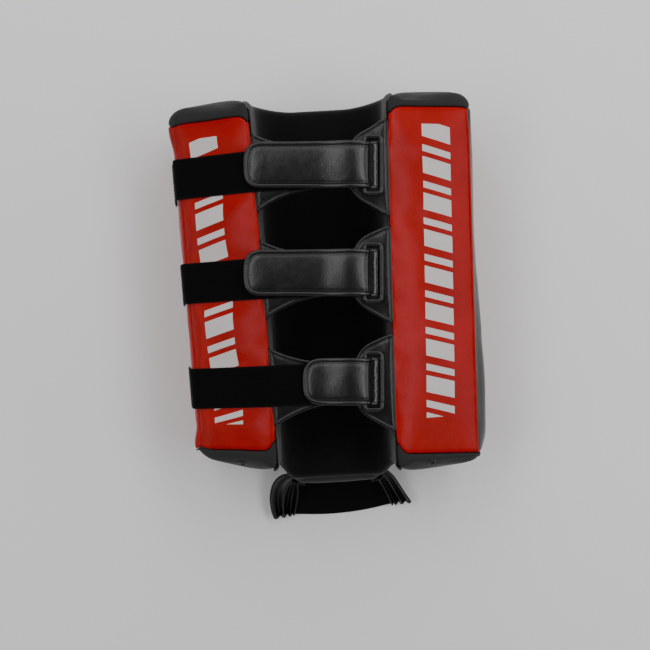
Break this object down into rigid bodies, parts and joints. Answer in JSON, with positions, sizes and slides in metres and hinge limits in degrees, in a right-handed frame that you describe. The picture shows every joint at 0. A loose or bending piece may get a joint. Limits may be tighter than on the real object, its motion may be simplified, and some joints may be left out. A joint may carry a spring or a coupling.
{
  "type": "kickboxing leg pad",
  "caption": "Thick U-shaped foam leg pad for kick training, in red and black synthetic leather, closed behind the leg by elastic straps with rings and pull tabs, with a stirrup.",
  "frame": {"origin": "middle of the flat striking face, which the pad lies on", "axes": "+X across the leg towards the strap rings, +Y up the leg, +Z away from the striking face towards the straps"},
  "size_m": [0.3829, 0.534, 0.1974],
  "materials": {
    "foam": "closed-cell foam, matt",
    "red_leather": "semi-gloss grained synthetic leather",
    "black_leather": "semi-gloss grained synthetic leather",
    "black_neoprene": "matt knitted neoprene",
    "elastic_webbing": "matt ribbed elastic webbing",
    "ring_plastic": "glossy moulded plastic",
    "hook_tape": "matt hook tape",
    "eyelet_metal": "black enamelled eyelet"
  },
  "bodies": {
    "root": {"channel_lining": "black_neoprene", "channel_sponge": "foam", "elastic_strap_bottom": "elastic_webbing", "elastic_strap_middle": "elastic_webbing", "elastic_strap_top": "elastic_webbing", "front_bottom_gusset": "black_neoprene", "front_cover": "red_leather", "front_foam": "foam", "front_top_gusset": "black_neoprene", "left_bottom_gusset": "black_neoprene", "left_corner_piping": "red_leather", "left_flap_bottom": "black_leather", "left_flap_middle": "black_leather", "left_flap_top": "black_leather", "left_rear_panel": "red_leather", "left_side_panel": "red_leather", "left_top_gusset": "black_neoprene", "left_wing_foam": "foam", "right_bottom_gusset": "black_neoprene", "right_corner_piping": "red_leather", "right_flap_bottom": "black_leather", "right_flap_middle": "black_leather", "right_flap_top": "black_leather", "right_rear_panel": "red_leather", "right_side_panel": "black_leather", "right_top_gusset": "black_neoprene", "right_wing_foam": "foam", "ring_keeper_bottom": "black_leather", "ring_keeper_middle": "black_leather", "ring_keeper_top": "black_leather", "stirrup_left_anchor": "black_leather", "stirrup_right_anchor": "black_leather", "strap_anchor_bottom": "black_leather", "strap_anchor_middle": "black_leather", "strap_anchor_top": "black_leather", "tongue_case": "black_neoprene", "vent_eyelets": "eyelet_metal"},
    "ring_top": {"strap_ring_top": "ring_plastic", "strap_fold_top": "black_leather"},
    "tab_top": {"pull_tab_top": "black_leather", "tab_binding_top": "black_leather", "hook_patch_top": "hook_tape"},
    "ring_middle": {"strap_ring_middle": "ring_plastic", "strap_fold_middle": "black_leather"},
    "tab_middle": {"pull_tab_middle": "black_leather", "tab_binding_middle": "black_leather", "hook_patch_middle": "hook_tape"},
    "ring_bottom": {"strap_ring_bottom": "ring_plastic", "strap_fold_bottom": "black_leather"},
    "tab_bottom": {"pull_tab_bottom": "black_leather", "tab_binding_bottom": "black_leather", "hook_patch_bottom": "hook_tape"},
    "stirrup": {"stirrup_band": "elastic_webbing", "stirrup_left_ear": "black_leather", "stirrup_right_ear": "black_leather"}
  },
  "joints": [
    {"name": "ring_pivot_top", "type": "hinge", "parent": "root", "child": "ring_top", "pos_m": [0.07246, 0.15593, 0.19375], "axis": [0.0523, 0.9986, 0], "range_deg": [0, 35]},
    {"name": "tab_peel_top", "type": "hinge", "parent": "ring_top", "child": "tab_top", "pos_m": [0.05199, 0.157, 0.19375], "axis": [0.0523, 0.9986, 0], "range_deg": [0, 150]},
    {"name": "ring_pivot_middle", "type": "hinge", "parent": "root", "child": "ring_middle", "pos_m": [0.06548, 0.02693, 0.19375], "axis": [0.0523, 0.9986, 0], "range_deg": [0, 35]},
    {"name": "tab_peel_middle", "type": "hinge", "parent": "ring_middle", "child": "tab_middle", "pos_m": [0.04501, 0.028, 0.19375], "axis": [0.0523, 0.9986, 0], "range_deg": [0, 150]},
    {"name": "ring_pivot_bottom", "type": "hinge", "parent": "root", "child": "ring_bottom", "pos_m": [0.05897, -0.10307, 0.19375], "axis": [0.0523, 0.9986, 0], "range_deg": [0, 35]},
    {"name": "tab_peel_bottom", "type": "hinge", "parent": "ring_bottom", "child": "tab_bottom", "pos_m": [0.0385, -0.102, 0.19375], "axis": [0.0523, 0.9986, 0], "range_deg": [0, 150]},
    {"name": "stirrup_swing", "type": "hinge", "parent": "root", "child": "stirrup", "pos_m": [0, -0.243, 0.04], "axis": [-1, 0, 0], "range_deg": [0, 70]}
  ]
}
